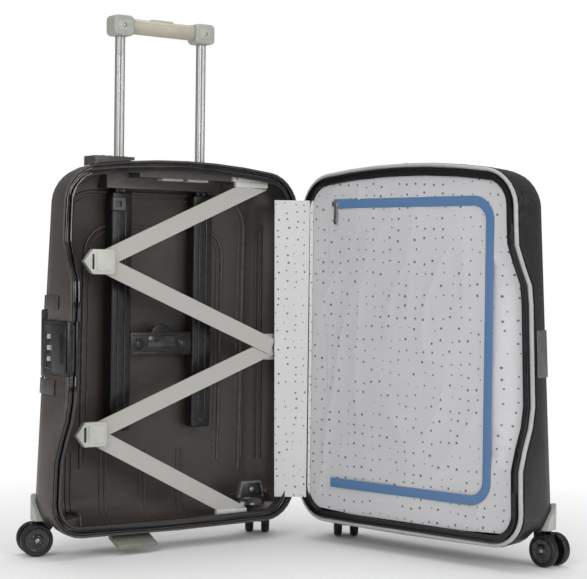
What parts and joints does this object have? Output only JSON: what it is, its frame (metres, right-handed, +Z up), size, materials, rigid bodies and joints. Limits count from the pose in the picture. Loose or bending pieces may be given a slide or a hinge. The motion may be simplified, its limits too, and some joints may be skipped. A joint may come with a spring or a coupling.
{
  "type": "hard shell suitcase on wheels",
  "caption": "Open cabin suitcase with two moulded shells on a side hinge, telescopic handle, twin-wheel casters, latches, packing straps and a zipped lining.",
  "frame": {"origin": "middle of the open case footprint, on the floor", "axes": "+Z up; the back shell opens towards -Y, its panel faces +Y and its lock side is at -X"},
  "size_m": [0.5912, 0.4958, 0.7474],
  "materials": {
    "shell_plastic": "fine-textured injection-moulded polypropylene, brown-black",
    "shell_gloss": "polished black rim channel",
    "black_plastic": "satin black nylon",
    "grey_plastic": "pale grey moulded plastic",
    "pale_plastic": "off-white moulded plastic",
    "tube_aluminium": "satin anodised aluminium",
    "steel": "plated steel",
    "webbing": "flat woven polyester webbing, light warm grey",
    "lining": "pale grey dotted polyester lining",
    "zip_blue": "blue covered zip tape",
    "grip": "beige-grey grip",
    "seal": "light grey edge piping",
    "wheel": "black polyurethane wheel"
  },
  "bodies": {
    "back_case": {"back_shell": "shell_plastic", "back_rim": "shell_gloss", "wheel_cover_back_lock": "grey_plastic", "wheel_cover_back_hinge": "grey_plastic", "outer_tube_left": "tube_aluminium", "outer_tube_right": "tube_aluminium", "tube_cover_left": "black_plastic", "tube_cover_right": "black_plastic", "support_plate": "black_plastic", "lock_housing": "black_plastic", "side_handle_mount_upper": "shell_plastic", "side_handle_mount_lower": "shell_plastic", "strap_upper": "webbing", "strap_lower": "webbing", "buckle_upper": "pale_plastic", "buckle_lower": "pale_plastic", "strap_anchor_top": "pale_plastic", "strap_anchor_bottom": "pale_plastic", "hinge_flap": "lining", "hinge_leaf_back": "black_plastic", "hinge_pin": "steel"},
    "lid": {"lid_shell": "shell_plastic", "lid_rim": "black_plastic", "seal_piping": "seal", "lining_panel": "lining", "zip_track": "zip_blue", "side_catch": "grey_plastic", "wheel_cover_lid_lock": "grey_plastic", "wheel_cover_lid_hinge": "grey_plastic", "hinge_leaf_lid": "black_plastic"},
    "handle_middle": {"middle_tube_left": "tube_aluminium", "middle_tube_right": "tube_aluminium"},
    "handle_upper": {"upper_tube_left": "tube_aluminium", "upper_tube_right": "tube_aluminium", "grip_bracket_left": "grey_plastic", "grip_bracket_right": "grey_plastic", "handle_grip": "grip"},
    "release_button": {"release_button": "black_plastic"},
    "top_latch": {"top_latch": "black_plastic"},
    "bottom_latch": {"bottom_latch": "grey_plastic"},
    "side_latch": {"side_latch": "black_plastic"},
    "lock_dial_1": {"lock_dial_1": "pale_plastic"},
    "lock_dial_2": {"lock_dial_2": "pale_plastic"},
    "lock_dial_3": {"lock_dial_3": "pale_plastic"},
    "key_cylinder": {"key_cylinder": "steel"},
    "side_handle": {"side_handle": "shell_gloss"},
    "top_handle": {"top_handle": "black_plastic"},
    "zip_puller": {"zip_puller": "steel"},
    "caster_back_lock": {"caster_back_lock_fork": "black_plastic"},
    "caster_back_lock_wheel_left": {"caster_back_lock_wheel_left": "wheel"},
    "caster_back_lock_wheel_right": {"caster_back_lock_wheel_right": "wheel"},
    "caster_back_hinge": {"caster_back_hinge_fork": "black_plastic"},
    "caster_back_hinge_wheel_left": {"caster_back_hinge_wheel_left": "wheel"},
    "caster_back_hinge_wheel_right": {"caster_back_hinge_wheel_right": "wheel"},
    "caster_lid_lock": {"caster_lid_lock_fork": "black_plastic"},
    "caster_lid_lock_wheel_left": {"caster_lid_lock_wheel_left": "wheel"},
    "caster_lid_lock_wheel_right": {"caster_lid_lock_wheel_right": "wheel"},
    "caster_lid_hinge": {"caster_lid_hinge_fork": "black_plastic"},
    "caster_lid_hinge_wheel_left": {"caster_lid_hinge_wheel_left": "wheel"},
    "caster_lid_hinge_wheel_right": {"caster_lid_hinge_wheel_right": "wheel"}
  },
  "joints": [
    {"name": "lid_hinge", "type": "hinge", "parent": "back_case", "child": "lid", "pos_m": [0.12353, 0.14768, 0.29], "axis": [0, 0, 1], "range_deg": [-101, 79]},
    {"name": "handle_middle_slide", "type": "slide", "parent": "back_case", "child": "handle_middle", "axis": [0, 0, 1], "range_m": [0, 0.24]},
    {"name": "handle_upper_slide", "type": "slide", "parent": "handle_middle", "child": "handle_upper", "axis": [0, 0, 1], "range_m": [-0.206, 0.044]},
    {"name": "release_button_press", "type": "slide", "parent": "handle_upper", "child": "release_button", "axis": [0, 0, -1], "range_m": [0, 0.004], "stiffness_N_per_m": 300},
    {"name": "top_latch_swing", "type": "hinge", "parent": "back_case", "child": "top_latch", "pos_m": [-0.19197, 0.17168, 0.543], "axis": [-1, 0, 0], "range_deg": [0, 60]},
    {"name": "bottom_latch_swing", "type": "hinge", "parent": "back_case", "child": "bottom_latch", "pos_m": [-0.14797, 0.17168, 0.021], "axis": [1, 0, 0], "range_deg": [-22, 12]},
    {"name": "side_latch_swing", "type": "hinge", "parent": "back_case", "child": "side_latch", "pos_m": [-0.27537, 0.15548, 0.286], "axis": [0, 0, -1], "range_deg": [0, 50]},
    {"name": "lock_dial_1_spin", "type": "hinge", "parent": "back_case", "child": "lock_dial_1", "pos_m": [-0.27007, 0.17068, 0.271], "axis": [0, 0, 1], "continuous": true},
    {"name": "lock_dial_2_spin", "type": "hinge", "parent": "back_case", "child": "lock_dial_2", "pos_m": [-0.27007, 0.17068, 0.286], "axis": [0, 0, 1], "continuous": true},
    {"name": "lock_dial_3_spin", "type": "hinge", "parent": "back_case", "child": "lock_dial_3", "pos_m": [-0.27007, 0.17068, 0.301], "axis": [0, 0, 1], "continuous": true},
    {"name": "key_turn", "type": "hinge", "parent": "back_case", "child": "key_cylinder", "pos_m": [-0.26977, 0.16068, 0.286], "axis": [1, 0, 0], "range_deg": [0, 90]},
    {"name": "side_handle_pull", "type": "slide", "parent": "back_case", "child": "side_handle", "axis": [-1, 0, 0], "range_m": [0, 0.012], "stiffness_N_per_m": 150},
    {"name": "top_handle_lift", "type": "slide", "parent": "back_case", "child": "top_handle", "axis": [0, 0, 1], "range_m": [0, 0.014], "stiffness_N_per_m": 150},
    {"name": "zip_puller_swing", "type": "hinge", "parent": "lid", "child": "zip_puller", "pos_m": [0.14004, 0.08213, 0.492], "axis": [-0.1908, 0.9816, 0], "range_deg": [0, 120]},
    {"name": "caster_back_lock_swivel", "type": "hinge", "parent": "back_case", "child": "caster_back_lock", "pos_m": [-0.25473, 0.20824, 0.05], "axis": [0, 0, 1], "continuous": true},
    {"name": "caster_back_lock_wheel_left_spin", "type": "hinge", "parent": "caster_back_lock", "child": "caster_back_lock_wheel_left", "pos_m": [-0.27315, 0.20046, 0.0225], "axis": [-0.2419, -0.9703, 0], "continuous": true},
    {"name": "caster_back_lock_wheel_right_spin", "type": "hinge", "parent": "caster_back_lock", "child": "caster_back_lock_wheel_right", "pos_m": [-0.26735, 0.22375, 0.0225], "axis": [-0.2419, -0.9703, 0], "continuous": true},
    {"name": "caster_back_hinge_swivel", "type": "hinge", "parent": "back_case", "child": "caster_back_hinge", "pos_m": [0.09603, 0.20824, 0.05], "axis": [0, 0, 1], "continuous": true},
    {"name": "caster_back_hinge_wheel_left_spin", "type": "hinge", "parent": "caster_back_hinge", "child": "caster_back_hinge_wheel_left", "pos_m": [0.09573, 0.22823, 0.0225], "axis": [-0.809, 0.5878, 0], "continuous": true},
    {"name": "caster_back_hinge_wheel_right_spin", "type": "hinge", "parent": "caster_back_hinge", "child": "caster_back_hinge_wheel_right", "pos_m": [0.11514, 0.21413, 0.0225], "axis": [-0.809, 0.5878, 0], "continuous": true},
    {"name": "caster_lid_lock_swivel", "type": "hinge", "parent": "lid", "child": "caster_lid_lock", "pos_m": [0.27461, -0.20829, 0.05], "axis": [0, 0, 1], "continuous": true},
    {"name": "caster_lid_lock_wheel_left_spin", "type": "hinge", "parent": "caster_lid_lock", "child": "caster_lid_lock_wheel_left", "pos_m": [0.28796, -0.22318, 0.0225], "axis": [0.9962, 0.0872, 0], "continuous": true},
    {"name": "caster_lid_lock_wheel_right_spin", "type": "hinge", "parent": "caster_lid_lock", "child": "caster_lid_lock_wheel_right", "pos_m": [0.26405, -0.22527, 0.0225], "axis": [0.9962, 0.0872, 0], "continuous": true},
    {"name": "caster_lid_hinge_swivel", "type": "hinge", "parent": "lid", "child": "caster_lid_hinge", "pos_m": [0.20768, 0.13602, 0.05], "axis": [0, 0, 1], "continuous": true},
    {"name": "caster_lid_hinge_wheel_left_spin", "type": "hinge", "parent": "caster_lid_hinge", "child": "caster_lid_hinge_wheel_left", "pos_m": [0.20798, 0.11602, 0.0225], "axis": [0.809, -0.5878, 0], "continuous": true},
    {"name": "caster_lid_hinge_wheel_right_spin", "type": "hinge", "parent": "caster_lid_hinge", "child": "caster_lid_hinge_wheel_right", "pos_m": [0.18857, 0.13013, 0.0225], "axis": [0.809, -0.5878, 0], "continuous": true}
  ]
}
